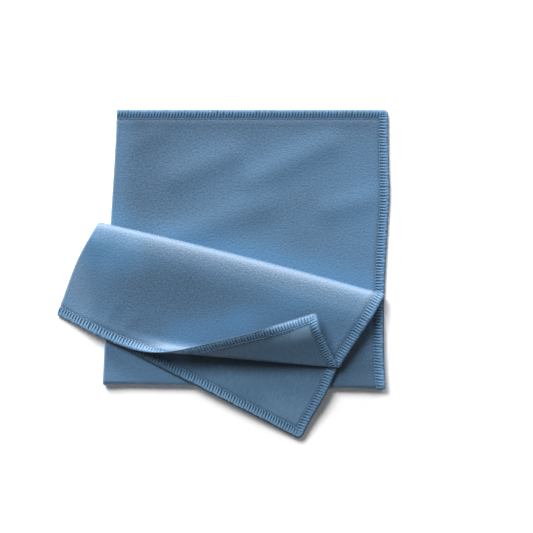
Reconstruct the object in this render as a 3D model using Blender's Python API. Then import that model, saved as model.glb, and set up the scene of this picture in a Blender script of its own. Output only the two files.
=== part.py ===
"""A square microfibre cloth, folded in half and then folded back on itself twice.

The cloth is one sheet. It is first folded in half, with the fold at the left, so that it
is a pair of plies: ply A, which lies on the surface, and ply B on top of it. The pair
runs down from its top hem to the bottom fold, up to a slanted fold across the middle, and
down again as a flap, whose free corner of ply B is rolled back on itself.

Metres. X is to the right, Y away from the viewer, Z up. The origin is at the middle of
the cloth's outline, on the surface that it lies on.
"""
import math
from collections import namedtuple

import bmesh
import bpy
import numpy as np

# ---- the sheet and how its layers lie on each other ----------------------------------
THICKNESS = 0.0010          # one layer of the cloth
LAYER_PITCH = 0.0016        # from the middle of one layer to the middle of the next
FLOOR_GAP = 0.0004          # under the parts of the flap that hang down to the surface
LOWER_PLY_SHY = 0.0008      # how far the lower ply's right hem stays behind the upper one's
CORNER_RADIUS = 0.0035      # rounding of the cloth's four corners

# ---- soft edges: a folded edge is thicker than the flat stack beside it ----------------
LEFT_FOLD_SWELL = 0.0005    # extra height of each pair at its left fold
LEFT_FOLD_REACH = 0.018     # how far from the fold that height fades out
BOTTOM_FOLD_SWELL = 0.0012
BOTTOM_FOLD_REACH = 0.016

# ---- the pair from the top hem to the bottom fold --------------------------------------
TOP_HEM_Y = 0.1186
BOTTOM_EDGE_Y_LEFT = -0.0803
BOTTOM_EDGE_Y_RIGHT = -0.0839

EdgePoint = namedtuple("EdgePoint", "y x")
FIRST_LEFT_EDGE = [
    EdgePoint(y=-0.0860, x=-0.0870),
    EdgePoint(y=-0.0477, x=-0.0855),
    EdgePoint(y=0.0391, x=-0.0812),
    EdgePoint(y=0.0752, x=-0.0789),
    EdgePoint(y=0.1186, x=-0.0765),
]
SECOND_LEFT_EDGE = [
    EdgePoint(y=-0.0860, x=-0.0870),
    EdgePoint(y=-0.0622, x=-0.0859),
    EdgePoint(y=-0.0350, x=-0.0850),
    EdgePoint(y=0.0030, x=-0.0872),
    EdgePoint(y=0.0314, x=-0.0904),
]
RIGHT_EDGE = [
    EdgePoint(y=-0.0860, x=0.1176),
    EdgePoint(y=-0.0550, x=0.1165),
    EdgePoint(y=-0.0188, x=0.1167),
    EdgePoint(y=0.0318, x=0.1191),
    EdgePoint(y=0.0788, x=0.1200),
    EdgePoint(y=0.1186, x=0.1196),
]

# ---- the slanted fold: a soft open roll, seen from above as a line ----------------------
SLANT_LEFT_END = np.array([-0.0890, 0.0371])
SLANT_ANGLE = math.radians(14.2)        # below the horizontal, to the right
SLANT_BOW = 0.0018                      # how far the line bows up between its ends
SLANT_BOW_FADE = 0.050                  # the flap's rows are straight this far down

# The roll's lower quarter turns up to the nose, which is its front, and its upper quarter
# runs back from the nose to the crest. Past the crest the flap glides down like a ramp and
# lies on the stack from "landing" on.
RollPoint = namedtuple("RollPoint", "across nose_reach nose_rise crest_reach crest_rise landing")
SLANT_ROLL = [                          # across: 0 at the left fold, 1 at the right hem
    RollPoint(across=0.0, nose_reach=0.0034, nose_rise=0.0028, crest_reach=0.0130,
              crest_rise=0.0046, landing=0.060),
    RollPoint(across=0.3, nose_reach=0.0038, nose_rise=0.0032, crest_reach=0.0140,
              crest_rise=0.0060, landing=0.078),
    RollPoint(across=0.7, nose_reach=0.0042, nose_rise=0.0035, crest_reach=0.0165,
              crest_rise=0.0068, landing=0.088),
    RollPoint(across=1.0, nose_reach=0.0042, nose_rise=0.0034, crest_reach=0.0180,
              crest_rise=0.0064, landing=0.090),
]
CREST_SHARPNESS = 1.55      # 2 makes an oval, less makes a straighter rise up to the crest
RAMP_IN = 0.14              # shares of the way down in which the ramp takes on its slope
RAMP_OUT = 0.30             # and loses it again

# ---- the flap: along is measured along the slanted line, down away from it -------------
FlapPoint = namedtuple("FlapPoint", "down along")
FLAP_LEFT_EDGE = [
    FlapPoint(down=0.0000, along=0.0000),
    FlapPoint(down=0.0107, along=-0.0032),
    FlapPoint(down=0.0301, along=-0.0088),
    FlapPoint(down=0.0487, along=-0.0116),
    FlapPoint(down=0.0731, along=-0.0137),
]
HemPoint = namedtuple("HemPoint", "down ply_a ply_b")
FLAP_RIGHT_HEM = [                      # the two plies part where ply B's corner turns over
    HemPoint(down=0.0000, ply_a=0.2124, ply_b=0.2124),
    HemPoint(down=0.0171, ply_a=0.2076, ply_b=0.2076),
    HemPoint(down=0.0457, ply_a=0.1976, ply_b=0.1976),
    HemPoint(down=0.0586, ply_a=0.1935, ply_b=0.1935),
    HemPoint(down=0.0814, ply_a=0.1892, ply_b=0.1870),
    HemPoint(down=0.1007, ply_a=0.1837, ply_b=0.1815),
    HemPoint(down=0.1173, ply_a=0.1800, ply_b=0.1768),
]
FREE_HEM_RIGHT_END = {"ply_a": 0.1173, "ply_b": 0.1079}    # down from the slanted line
HEMS_PART_FROM = 0.2        # across: left of here the two plies' free hems lie on each other
HEMS_PARTED_FROM = 0.6      # and from here on each runs straight to its own right end
FLAP_DROP_START = 0.0040    # past the edge of the layers below the flap starts to sag
FLAP_DROP_LEFT = 0.031      # and would be down on the surface this much further on, past the
FLAP_DROP_BOTTOM = 0.060    # left edge and past the bottom edge

# ---- the rolled-back corner of ply B: a cone, whose tip lies just outside the cloth ----
CONE_TIP = np.array([0.1030, -0.0708])
CONE_START = math.radians(12.8)         # where the roll starts, above leftward
CONE_HALF_ANGLE = math.radians(5.86)
CONE_TURN = math.radians(153)           # how far the roll turns the corner over
CORNER_CONE_HALF_ANGLE = math.radians(60)      # past the roll the corner bends only gently
CURL_KEEPS_SLOPE = math.radians(70)     # the flap's own slope fades out over this much turn
CURL_FROM_FOLD = 0.030                  # no curl this near the left fold, all of it from
CURL_FULL_FROM_FOLD = 0.095             # this far on

# ---- broad soft ridges in the upper ply, above the slanted fold --------------------------
Ridge = namedtuple("Ridge", "x1 y1 x2 y2 height half_width")
RIDGES = [
    Ridge(x1=-0.040, y1=0.074, x2=0.004, y2=0.094, height=0.0014, half_width=0.014),
    Ridge(x1=0.022, y1=0.073, x2=0.074, y2=0.101, height=0.0014, half_width=0.014),
    Ridge(x1=-0.042, y1=0.034, x2=0.026, y2=0.058, height=0.0012, half_width=0.013),
    Ridge(x1=0.072, y1=0.050, x2=0.108, y2=0.062, height=0.0012, half_width=0.013),
]
RIDGE_FADE = 0.025          # ridges fade out this near a hem or the slanted fold

# ---- how finely the sheet is divided -----------------------------------------------------
TOP_STEPS = 16
BOTTOM_FOLD_STEPS = 8
BACK_STEPS = 7
SLANT_STEPS = 11
RAMP_STEPS = 6
RAMP_ROWS_SHARE = 0.55      # of the way to the landing; the free part's rows start there
FREE_STEPS_TO_CURL = 3      # the free part of the flap, in steps before, in and after the curl
FREE_STEPS_IN_CURL = 8
FREE_STEPS_PAST_CURL = 4
LEAST_STEP = 0.0014
PLY_A_COLUMNS = 15
PLY_B_COLUMNS = 20
LEFT_FOLD_STEPS = 6
COLUMN_CROWDING = 1.5       # columns stand closer towards the left fold
CURL_STEPS_FROM = 0.35      # across: from here on, ply B's rows are spaced for the curl
CURL_SAMPLES = 400          # places at which the curl's turn is worked out for that
SHORT_STEP = 0.0005         # for taking the direction in which the flap's surface faces
SHORT_TURN = 0.01           # and the slanted roll's, as a share of its half turn

CLOTH_BLUE = (0.118, 0.235, 0.381)
CLOTH_ROUGHNESS = 0.95

UP = np.array([0.0, 0.0, 1.0])
ALONG = np.array([math.cos(SLANT_ANGLE), -math.sin(SLANT_ANGLE)])
BEYOND = np.array([math.sin(SLANT_ANGLE), math.cos(SLANT_ANGLE)])
FLAT_HALF_GAP = LAYER_PITCH / 2
FIRST_LAYER_Z = THICKNESS / 2
HANGING_LAYER_Z = FIRST_LAYER_Z + FLOOR_GAP

Lie = namedtuple("Lie", "middle out across_way half_gap")


# ---- small tools ---------------------------------------------------------------------------
def follow(table, column, at):
    """Read one column of a table smoothly, at places given in the table's first column."""
    places = np.array([row[0] for row in table])
    values = np.array([getattr(row, column) for row in table])
    slopes = np.gradient(values, places)
    at = np.clip(at, places[0], places[-1])
    low = np.clip(np.searchsorted(places, at) - 1, 0, len(places) - 2)
    span = places[low + 1] - places[low]
    t = (at - places[low]) / span
    rise = values[low + 1] - values[low]
    bend_in = slopes[low] * span - rise
    bend_out = rise - slopes[low + 1] * span
    return values[low] + rise * t + t * (1 - t) * (bend_in * (1 - t) + bend_out * t)


def ease(t):
    """From 0 to 1 with no slope at either end."""
    t = np.clip(t, 0.0, 1.0)
    return t * t * (3 - 2 * t)


def glide(t, ramp_in, ramp_out):
    """From 0 to 1 at an even pace, which is taken on and lost again over the two shares."""
    t = np.clip(t, 0.0, 1.0)
    pace = 1 / (1 - (ramp_in + ramp_out) / 2)
    starting = t * t / (2 * ramp_in)
    going = t - ramp_in / 2
    ending = 1 / pace - (1 - t) ** 2 / (2 * ramp_out)
    return pace * np.where(t < ramp_in, starting, np.where(t < 1 - ramp_out, going, ending))


def swell(distance, height, reach):
    """Extra height beside a soft folded edge, all of it at the edge and none at reach."""
    return height * (1 - ease(distance / reach))


def mix(a, b, t):
    return a + (b - a) * t


def to_space(plan, z):
    return np.concatenate([plan, np.reshape(z, (-1, 1))], axis=1)


def column(values):
    return np.reshape(values, (-1, 1))


# ---- heights of the layers in the flat stack ---------------------------------------------
def left_swell(plan, edge):
    """Extra height of a pair whose left fold lies along the given edge, at any place."""
    inside = np.maximum(plan[:, 0] - follow(edge, "x", plan[:, 1]), 0.0)
    return swell(inside, LEFT_FOLD_SWELL, LEFT_FOLD_REACH)


def bottom_edge(plan):
    share = (plan[:, 0] - SECOND_LEFT_EDGE[0].x) / (RIGHT_EDGE[0].x - SECOND_LEFT_EDGE[0].x)
    return mix(BOTTOM_EDGE_Y_LEFT, BOTTOM_EDGE_Y_RIGHT, share)


def bottom_swell(plan):
    inside = np.maximum(plan[:, 1] - bottom_edge(plan), 0.0)
    return swell(inside, BOTTOM_FOLD_SWELL, BOTTOM_FOLD_REACH)


def half_gap(from_fold):
    """Half the distance between the two plies of a pair, which opens towards its left fold."""
    return FLAT_HALF_GAP + swell(from_fold, LEFT_FOLD_SWELL, LEFT_FOLD_REACH) / 2


def second_bed_z(plan):
    """Middle of the second pair's lower ply."""
    first_top = FIRST_LAYER_Z + LAYER_PITCH + left_swell(plan, FIRST_LEFT_EDGE)
    return first_top + LAYER_PITCH + bottom_swell(plan)


def flap_bed_z(plan):
    """Middle of the flap's lower ply: on the stack, or sagging to the surface past it."""
    second_top = second_bed_z(plan) + LAYER_PITCH + left_swell(plan, SECOND_LEFT_EDGE)
    past_left = follow(SECOND_LEFT_EDGE, "x", plan[:, 1]) - plan[:, 0] - FLAP_DROP_START
    past_bottom = bottom_edge(plan) - plan[:, 1] - FLAP_DROP_START
    left_share = np.maximum(past_left, 0.0) / FLAP_DROP_LEFT
    bottom_share = np.maximum(past_bottom, 0.0) / FLAP_DROP_BOTTOM
    dropped = ease(np.hypot(left_share, bottom_share))
    return mix(second_top + LAYER_PITCH, HANGING_LAYER_Z, dropped)


def ridge_z(plan):
    """Height of the upper ply's soft ridges."""
    height = np.zeros(len(plan))
    for ridge in RIDGES:
        start = np.array([ridge.x1, ridge.y1])
        run = np.array([ridge.x2, ridge.y2]) - start
        share = np.clip((plan - start) @ run / (run @ run), 0.0, 1.0)
        off = np.hypot(*(plan - start - column(share) * run).T)
        height = height + ridge.height * np.exp(-(off / ridge.half_width) ** 2)
    above_slant = (plan - SLANT_LEFT_END) @ BEYOND
    below_hem = TOP_HEM_Y - plan[:, 1]
    inside_right = follow(RIGHT_EDGE, "x", plan[:, 1]) - plan[:, 0]
    nearest = np.minimum(np.minimum(above_slant, below_hem), inside_right)
    return height * ease(nearest / RIDGE_FADE)


# ---- the pair of plies, section by section -------------------------------------------------
# Each function gives, for places from 0 at the left fold to 1 at the right hem, the middle
# of the pair, the direction towards ply A, the direction across, and half the plies' gap.
def width_of_rows():
    return RIGHT_EDGE[0].x - SECOND_LEFT_EDGE[0].x


def inset_left(across):
    """The pair's middle starts inside the outline by the left fold's own radius."""
    return (1 - across) * (half_gap(0.0) + THICKNESS / 2)


def top_part(share, across):
    bottom = mix(BOTTOM_EDGE_Y_LEFT, BOTTOM_EDGE_Y_RIGHT, across) + bottom_fold_inset()
    y = mix(TOP_HEM_Y, bottom, share)
    x = mix(follow(FIRST_LEFT_EDGE, "x", y), follow(RIGHT_EDGE, "x", y), across)
    plan = np.stack([x + inset_left(across), y], axis=1)
    from_fold = across * width_of_rows()
    ridges = ridge_z(plan) * ease(from_fold / RIDGE_FADE)
    gap = half_gap(from_fold) + ridges / 2
    middle = to_space(plan, FIRST_LAYER_Z + gap)
    out = np.tile(-UP, (len(across), 1))
    return Lie(middle, out, np.tile([1.0, 0.0, 0.0], (len(across), 1)), gap)


def bottom_fold_radius():
    return LAYER_PITCH + BOTTOM_FOLD_SWELL / 2


def bottom_fold_inset():
    return bottom_fold_radius() + FLAT_HALF_GAP + THICKNESS / 2


def bottom_fold(share, across):
    y = mix(BOTTOM_EDGE_Y_LEFT, BOTTOM_EDGE_Y_RIGHT, across) + bottom_fold_inset()
    x = mix(follow(SECOND_LEFT_EDGE, "x", y), follow(RIGHT_EDGE, "x", y), across)
    plan = np.stack([x + inset_left(across), y], axis=1)
    edge = np.stack([x, mix(BOTTOM_EDGE_Y_LEFT, BOTTOM_EDGE_Y_RIGHT, across)], axis=1)
    from_fold = across * width_of_rows()
    low = FIRST_LAYER_Z + half_gap(from_fold)
    high = second_bed_z(edge) + half_gap(from_fold)
    radius = (high - low) / 2
    turn = share * math.pi
    out = np.stack([np.zeros_like(turn), -np.sin(turn), -np.cos(turn)], axis=1)
    middle = to_space(plan, low + radius) + column(radius) * out
    return Lie(middle, out, np.tile([1.0, 0.0, 0.0], (len(across), 1)), half_gap(from_fold))


def nose_down(across):
    """The pair's middle stays behind the slanted line by half the pair."""
    return half_gap(across * width_of_rows()) + THICKNESS / 2


def crest_down(across):
    return nose_down(across) + follow(SLANT_ROLL, "crest_reach", across)


def flap_plan(down, across, ply="ply_a"):
    """A place in the flap, seen from above; down may vary across."""
    left = follow(FLAP_LEFT_EDGE, "along", down)
    right = follow(FLAP_RIGHT_HEM, ply, down)
    along = mix(left, right, across) + inset_left(across)
    bow = SLANT_BOW * 4 * across * (1 - across) * (1 - ease(down / SLANT_BOW_FADE))
    return SLANT_LEFT_END + column(along) * ALONG - column(down - bow) * BEYOND


def slant_start(across):
    """The line where the roll starts to turn up."""
    reach = nose_down(across) + follow(SLANT_ROLL, "nose_reach", across)
    plan = flap_plan(np.zeros_like(across), across) - column(reach) * BEYOND
    return to_space(plan, second_bed_z(plan) + half_gap(across * width_of_rows()))


def crest_z(across):
    rise = follow(SLANT_ROLL, "nose_rise", across) + follow(SLANT_ROLL, "crest_rise", across)
    return slant_start(across)[:, 2] + rise


def back_part(share, across):
    bottom = mix(BOTTOM_EDGE_Y_LEFT, BOTTOM_EDGE_Y_RIGHT, across) + bottom_fold_inset()
    ends = slant_start(across)
    start_x = mix(follow(SECOND_LEFT_EDGE, "x", bottom), follow(RIGHT_EDGE, "x", bottom), across)
    y = mix(bottom, ends[:, 1], share)
    left_bend = edge_bend(SECOND_LEFT_EDGE, bottom, ends[:, 1], y)
    right_bend = edge_bend(RIGHT_EDGE, bottom, ends[:, 1], y)
    x = mix(start_x + inset_left(across), ends[:, 0], share) + mix(left_bend, right_bend, across)
    plan = np.stack([x, y], axis=1)
    slope = mix(0.0, SLANT_ANGLE, share)
    way = np.stack([np.cos(slope), -np.sin(slope), np.zeros_like(slope)], axis=1)
    out = np.tile(UP, (len(across), 1))
    gap = half_gap(across * width_of_rows())
    return Lie(to_space(plan, second_bed_z(plan) + gap), out, way, gap)


def edge_bend(edge, y_from, y_to, y):
    """How far an edge strays sideways from the straight line between two of its places."""
    share = (y - y_from) / (y_to - y_from)
    return follow(edge, "x", y) - mix(follow(edge, "x", y_from), follow(edge, "x", y_to), share)


def slant_middle(share, across):
    """Half a turn: first straight on from the start line, then in the flap's own outline."""
    turn = share * math.pi
    start = slant_start(across)
    forward = follow(SLANT_ROLL, "nose_reach", across) * np.sin(turn)
    to_nose = start[:, :2] + column(forward) * BEYOND
    lower_z = start[:, 2] + follow(SLANT_ROLL, "nose_rise", across) * (1 - np.cos(turn))
    past_nose = follow(SLANT_ROLL, "crest_reach", across) * (1 - np.sin(turn))
    to_crest = flap_plan(nose_down(across) + past_nose, across)
    climb = np.sqrt(1 - np.clip(np.sin(turn), 0.0, 1.0) ** CREST_SHARPNESS)
    upper_z = crest_z(across) - follow(SLANT_ROLL, "crest_rise", across) * (1 - climb)
    is_lower = turn < math.pi / 2
    plan = np.where(column(is_lower), to_nose, to_crest)
    return to_space(plan, np.where(is_lower, lower_z, upper_z))


def slanted_fold(share, across):
    before = slant_middle(np.maximum(share - SHORT_TURN, 0.0), across)
    after = slant_middle(np.minimum(share + SHORT_TURN, 1.0), across)
    way = np.tile(np.append(ALONG, 0.0), (len(across), 1))
    out = np.cross(way, after - before)
    out = out / column(np.linalg.norm(out, axis=1))
    return Lie(slant_middle(share, across), out, way, half_gap(across * width_of_rows()))


def ramp_height(down, across):
    """How far the flap still stands off its bed at a given distance from the slanted line."""
    start = crest_down(across)
    bed = flap_bed_z(flap_plan(start, across)) + half_gap(across * width_of_rows())
    landing = follow(SLANT_ROLL, "landing", across)
    gone = glide((down - start) / (landing - start), RAMP_IN, RAMP_OUT)
    return (crest_z(across) - bed) * (1 - gone)


def flap_middle(down, across, ply):
    plan = flap_plan(down, across, ply)
    gap = half_gap(across * width_of_rows())
    return to_space(plan, flap_bed_z(plan) + gap + ramp_height(down, across))


def flap_lie(down, across, ply):
    """The flap's pair of plies, with its normal from two short steps on its surface."""
    middle = flap_middle(down, across, ply)
    away = flap_middle(down + SHORT_STEP, across, ply) - middle
    side = flap_middle(down, across + SHORT_STEP / width_of_rows(), ply) - middle
    out = np.cross(side, away)
    out = out / column(np.linalg.norm(out, axis=1))
    way = side / column(np.linalg.norm(side, axis=1))
    return Lie(middle, out, way, half_gap(across * width_of_rows()))


def ramp_end(across):
    """Where the even rows of the ramp end and those of the free part start."""
    return RAMP_ROWS_SHARE * follow(SLANT_ROLL, "landing", across)


def ramp_part(share, across):
    return flap_lie(mix(crest_down(across), ramp_end(across), share), across, "ply_a")


def free_hem_down(across, ply):
    """Distance of a ply's free hem from the slanted line."""
    left = FLAP_LEFT_EDGE[-1].down
    straight = mix(left, FREE_HEM_RIGHT_END["ply_a"], across)
    short = (FREE_HEM_RIGHT_END["ply_a"] - FREE_HEM_RIGHT_END[ply]) * across
    return straight - short * ease((across - HEMS_PART_FROM) / (HEMS_PARTED_FROM - HEMS_PART_FROM))


def free_part(share, across, ply):
    start = ramp_end(across)
    return flap_lie(mix(start, free_hem_down(across, ply), share), across, ply)


# ---- the rolled-back corner -------------------------------------------------------------------
def around_cone(line, side, half_angle, turn):
    """Follow a sheet around a cone: the new line from the cone's tip, and the new side way.

    The line lies in the sheet, side is at right angles to it in the sheet, and the sheet
    rolls towards the side on which the two of them, crossed, point.
    """
    inner = np.cross(line, side)
    axis = math.cos(half_angle) * line + math.sin(half_angle) * inner
    back = math.cos(half_angle) * inner - math.sin(half_angle) * line
    new_side = column(np.sin(turn)) * back + column(np.cos(turn)) * side
    spoke = column(np.sin(turn)) * side - column(np.cos(turn)) * back
    return math.cos(half_angle) * axis + math.sin(half_angle) * spoke, new_side


CONE_LINE = np.array([-math.cos(CONE_START), math.sin(CONE_START), 0.0])
CONE_SIDE = np.array([-math.sin(CONE_START), -math.cos(CONE_START), 0.0])
CORNER_LINE, CORNER_SIDE = around_cone(CONE_LINE, CONE_SIDE, CONE_HALF_ANGLE, np.array([CONE_TURN]))


def past_curl_start(plan):
    """Distance from the cone's tip, and the angle past the line where the roll starts."""
    offset = plan - CONE_TIP
    reach = np.hypot(offset[:, 0], offset[:, 1])
    return reach, CONE_START - np.arctan2(offset[:, 1], -offset[:, 0])


def curl(points, down, across):
    """Roll ply B's corner up on its cone, and bend what is past the roll only gently.

    The cone stands on the flap's own height along the line where the roll starts. The flap
    still slopes there, and the roll takes that slope over and loses it as it turns up.
    """
    reach, angle = past_curl_start(points[:, :2])
    turn = np.clip(angle / math.sin(CONE_HALF_ANGLE), 0.0, CONE_TURN)
    direction = around_cone(CONE_LINE, CONE_SIDE, CONE_HALF_ANGLE, turn)[0]
    rest = np.maximum(angle - CONE_TURN * math.sin(CONE_HALF_ANGLE), 0.0)
    gentle_turn = rest / math.sin(CORNER_CONE_HALF_ANGLE)
    corner = around_cone(CORNER_LINE[0], CORNER_SIDE[0], CORNER_CONE_HALF_ANGLE, gentle_turn)[0]
    direction = np.where(column(rest) > 0, corner, direction)
    start_line = CONE_TIP + column(reach) * CONE_LINE[:2]
    height = ramp_height(down, across)
    base = flap_bed_z(start_line) + LAYER_PITCH + height
    slope = flap_bed_z(points[:, :2]) - flap_bed_z(start_line)
    base = base + slope * (1 - ease(turn / CURL_KEEPS_SLOPE))
    rolled = to_space(np.tile(CONE_TIP, (len(points), 1)), base) + column(reach) * direction
    from_fold = across * width_of_rows()
    share = ease((from_fold - CURL_FROM_FOLD) / (CURL_FULL_FROM_FOLD - CURL_FROM_FOLD))
    share = np.where(angle > 0, share, 0.0)
    return mix(points, rolled, column(share))


def even_shares(length, steps):
    """Even steps down to the hem, the last of them as long as the corners' rounding."""
    last = 1 - CORNER_RADIUS / length
    return np.append(np.linspace(0.0, last, steps), 1.0)


def curled_shares(place):
    """Steps down ply B's free part at one place across, crowded where the corner rolls."""
    fine = np.linspace(0.0, 1.0, CURL_SAMPLES)
    places = np.full(len(fine), place)
    length = free_hem_down(place, "ply_b") - ramp_end(place)
    plan = free_part(fine, places, "ply_b").middle[:, :2]
    turn = past_curl_start(plan)[1] / math.sin(CONE_HALF_ANGLE)
    last_roll = 1 - (CORNER_RADIUS + (FREE_STEPS_PAST_CURL - 1) * LEAST_STEP) / length
    full_turn = min(CONE_TURN, np.interp(last_roll, fine, turn))
    in_curl = np.linspace(0.0, full_turn, FREE_STEPS_IN_CURL + 1)
    rolling = np.interp(in_curl, turn, fine)
    before = np.linspace(0.0, rolling[0], FREE_STEPS_TO_CURL + 1)[:-1]
    after_length = (1 - rolling[-1]) * length
    after = rolling[-1] + (1 - rolling[-1]) * even_shares(after_length, FREE_STEPS_PAST_CURL)
    return np.concatenate([before, rolling, after[1:]])


def ply_b_shares(across, steps):
    """Even steps at the left fold, where both plies meet, and crowded ones from there on."""
    rows = np.zeros((steps + 1, len(across)))
    for index, place in enumerate(across):
        length = free_hem_down(place, "ply_b") - ramp_end(place)
        even = even_shares(length, steps)
        rows[:, index] = mix(even, curled_shares(place), ease(place / CURL_STEPS_FROM))
    return rows


# ---- the sheet as one grid, from ply A's right hem over the left fold to ply B's ---------------
def ply_points(lie, side):
    return lie.middle + side * column(lie.half_gap) * lie.out


def left_fold_points(lie):
    """The half turn at the left fold, without the two lines where it meets the plies."""
    turns = np.linspace(0.0, math.pi, LEFT_FOLD_STEPS + 1)[1:-1]
    middle, out, way, gap = lie.middle[0], lie.out[0], lie.across_way[0], lie.half_gap[0]
    return np.array([middle + gap * (math.cos(t) * out - math.sin(t) * way) for t in turns])


def columns_across(count):
    """Places across a ply, crowded towards the left fold, one at the corners' rounding."""
    last = 1 - CORNER_RADIUS / width_of_rows()
    return np.append(last * np.linspace(0.0, 1.0, count) ** COLUMN_CROWDING, 1.0)


def sheet_row(lie_a, ply_b):
    return np.concatenate([ply_points(lie_a, 1.0)[::-1], left_fold_points(lie_a), ply_b])


def drawn_in(across, shy):
    return across * (1 - shy / width_of_rows())


def sheet_grid():
    a_across = columns_across(PLY_A_COLUMNS)
    b_across = columns_across(PLY_B_COLUMNS)
    top_shares = 1 - even_shares(TOP_HEM_Y - BOTTOM_EDGE_Y_LEFT, TOP_STEPS)[::-1]
    Section = namedtuple("Section", "part shares ply_a_shy_from ply_a_shy_to")
    sections = [
        Section(top_part, top_shares[:-1], 1.0, 1.0),
        Section(bottom_fold, np.arange(BOTTOM_FOLD_STEPS) / BOTTOM_FOLD_STEPS, 1.0, 0.0),
        Section(back_part, np.arange(BACK_STEPS) / BACK_STEPS, 0.0, 0.0),
        Section(slanted_fold, np.arange(SLANT_STEPS) / SLANT_STEPS, 0.0, 1.0),
        Section(ramp_part, np.arange(RAMP_STEPS) / RAMP_STEPS, 1.0, 1.0),
    ]
    rows = []
    for section in sections:
        for share in section.shares:
            shy_a = LOWER_PLY_SHY * mix(section.ply_a_shy_from, section.ply_a_shy_to, share)
            places_a = drawn_in(a_across, shy_a)
            places_b = drawn_in(b_across, LOWER_PLY_SHY - shy_a)
            lie_a = section.part(np.full(len(places_a), share), places_a)
            lie_b = section.part(np.full(len(places_b), share), places_b)
            rows.append(sheet_row(lie_a, ply_points(lie_b, -1.0)))
    places_a = drawn_in(a_across, LOWER_PLY_SHY)
    free_steps = FREE_STEPS_TO_CURL + FREE_STEPS_IN_CURL + FREE_STEPS_PAST_CURL
    length = free_hem_down(0.0, "ply_a") - ramp_end(0.0)
    a_shares = even_shares(length, free_steps)
    for a_share, b_shares in zip(a_shares, ply_b_shares(b_across, free_steps)):
        lie_a = free_part(np.full(len(places_a), a_share), places_a, "ply_a")
        lie_b = free_part(b_shares, b_across, "ply_b")
        down_b = mix(ramp_end(b_across), free_hem_down(b_across, "ply_b"), b_shares)
        rows.append(sheet_row(lie_a, curl(ply_points(lie_b, -1.0), down_b, b_across)))
    return np.array(rows)


def round_corners(grid):
    """Draw each of the four corner points in to where a rounded corner would pass."""
    cut = CORNER_RADIUS * (math.sqrt(2) - 1)
    for row, inner_row in ((0, 1), (-1, -2)):
        for col, inner_col in ((0, 1), (-1, -2)):
            down_way = grid[inner_row, col] - grid[row, col]
            side_way = grid[row, inner_col] - grid[row, col]
            inward = down_way / np.linalg.norm(down_way) + side_way / np.linalg.norm(side_way)
            grid[row, col] += cut * inward / np.linalg.norm(inward)


def centred(grid):
    low = grid.reshape(-1, 3).min(axis=0)
    high = grid.reshape(-1, 3).max(axis=0)
    middle = (low + high) / 2
    return grid - np.array([middle[0], middle[1], 0.0])


# ---- objects ---------------------------------------------------------------------------------------
def cloth_material():
    material = bpy.data.materials.new("microfibre")
    material.use_nodes = True
    shader = material.node_tree.nodes["Principled BSDF"]
    shader.inputs["Base Color"].default_value = (*CLOTH_BLUE, 1.0)
    shader.inputs["Roughness"].default_value = CLOTH_ROUGHNESS
    shader.inputs["Metallic"].default_value = 0.0
    return material


def make_cloth():
    grid = sheet_grid()
    round_corners(grid)
    grid = centred(grid)
    shell = bmesh.new()
    points = [[shell.verts.new(point) for point in row] for row in grid]
    for upper, lower in zip(points[:-1], points[1:]):
        for left in range(len(upper) - 1):
            shell.faces.new((upper[left], upper[left + 1], lower[left + 1], lower[left]))
    bmesh.ops.recalc_face_normals(shell, faces=shell.faces)
    mesh = bpy.data.meshes.new("cloth")
    shell.to_mesh(mesh)
    shell.free()
    mesh.materials.append(cloth_material())
    cloth = bpy.data.objects.new("cloth", mesh)
    bpy.context.collection.objects.link(cloth)
    wall = cloth.modifiers.new("thickness", "SOLIDIFY")
    wall.thickness = THICKNESS
    wall.offset = 0.0
    wall.use_even_offset = True
    wall.use_quality_normals = True
    return cloth


for thing in list(bpy.data.objects):
    bpy.data.objects.remove(thing, do_unlink=True)

make_cloth()
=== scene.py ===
import math
from collections import namedtuple

import bpy
import numpy as np
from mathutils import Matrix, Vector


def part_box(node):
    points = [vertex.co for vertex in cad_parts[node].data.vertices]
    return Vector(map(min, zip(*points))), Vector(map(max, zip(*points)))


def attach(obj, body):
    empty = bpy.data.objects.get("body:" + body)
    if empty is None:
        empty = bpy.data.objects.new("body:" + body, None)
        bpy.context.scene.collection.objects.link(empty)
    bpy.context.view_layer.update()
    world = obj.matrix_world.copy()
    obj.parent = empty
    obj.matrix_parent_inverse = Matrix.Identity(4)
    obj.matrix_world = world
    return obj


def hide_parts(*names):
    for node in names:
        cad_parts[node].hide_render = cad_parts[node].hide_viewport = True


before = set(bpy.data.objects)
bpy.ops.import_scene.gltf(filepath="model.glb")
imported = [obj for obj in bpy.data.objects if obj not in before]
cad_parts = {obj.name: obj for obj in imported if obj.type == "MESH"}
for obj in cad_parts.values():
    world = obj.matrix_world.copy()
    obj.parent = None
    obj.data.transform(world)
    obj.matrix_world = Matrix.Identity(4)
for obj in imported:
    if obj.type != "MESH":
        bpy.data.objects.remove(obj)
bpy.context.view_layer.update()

cloth_low, cloth_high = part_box("cloth")
bpy.ops.object.select_all(action="DESELECT")


# ==== The cloth ==============================================================================
# One 40 cm square of knitted microfibre with a brushed, suede-like face, folded in half with the
# fold at the left. Its two plies, A below and B above, run down to the bottom fold, up to a soft
# slanted roll, and down again as a flap, where ply B's free corner is rolled back on itself.
CLOTH_SIDE = 0.400
CLOTH_THICKNESS = 0.0007
CLOTH_CORNER = 0.0040
LAYER_PITCH = 0.0016            # from the middle of one layer to the middle of the next
STACK_BOTTOM = 0.0008           # middle of the lowest layer, which lies on its hem's thread
HANGING_BOTTOM = 0.0011         # the same, where the flap hangs down to the surface
LOWER_PLY_SHY = 0.0008          # how far the lower ply's right hem stays behind the upper one's

LEFT_FOLD_SWELL = 0.0005        # a folded edge is thicker than the flat stack beside it
LEFT_FOLD_REACH = 0.018
BOTTOM_FOLD_SWELL = 0.0012
BOTTOM_FOLD_REACH = 0.016

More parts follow.
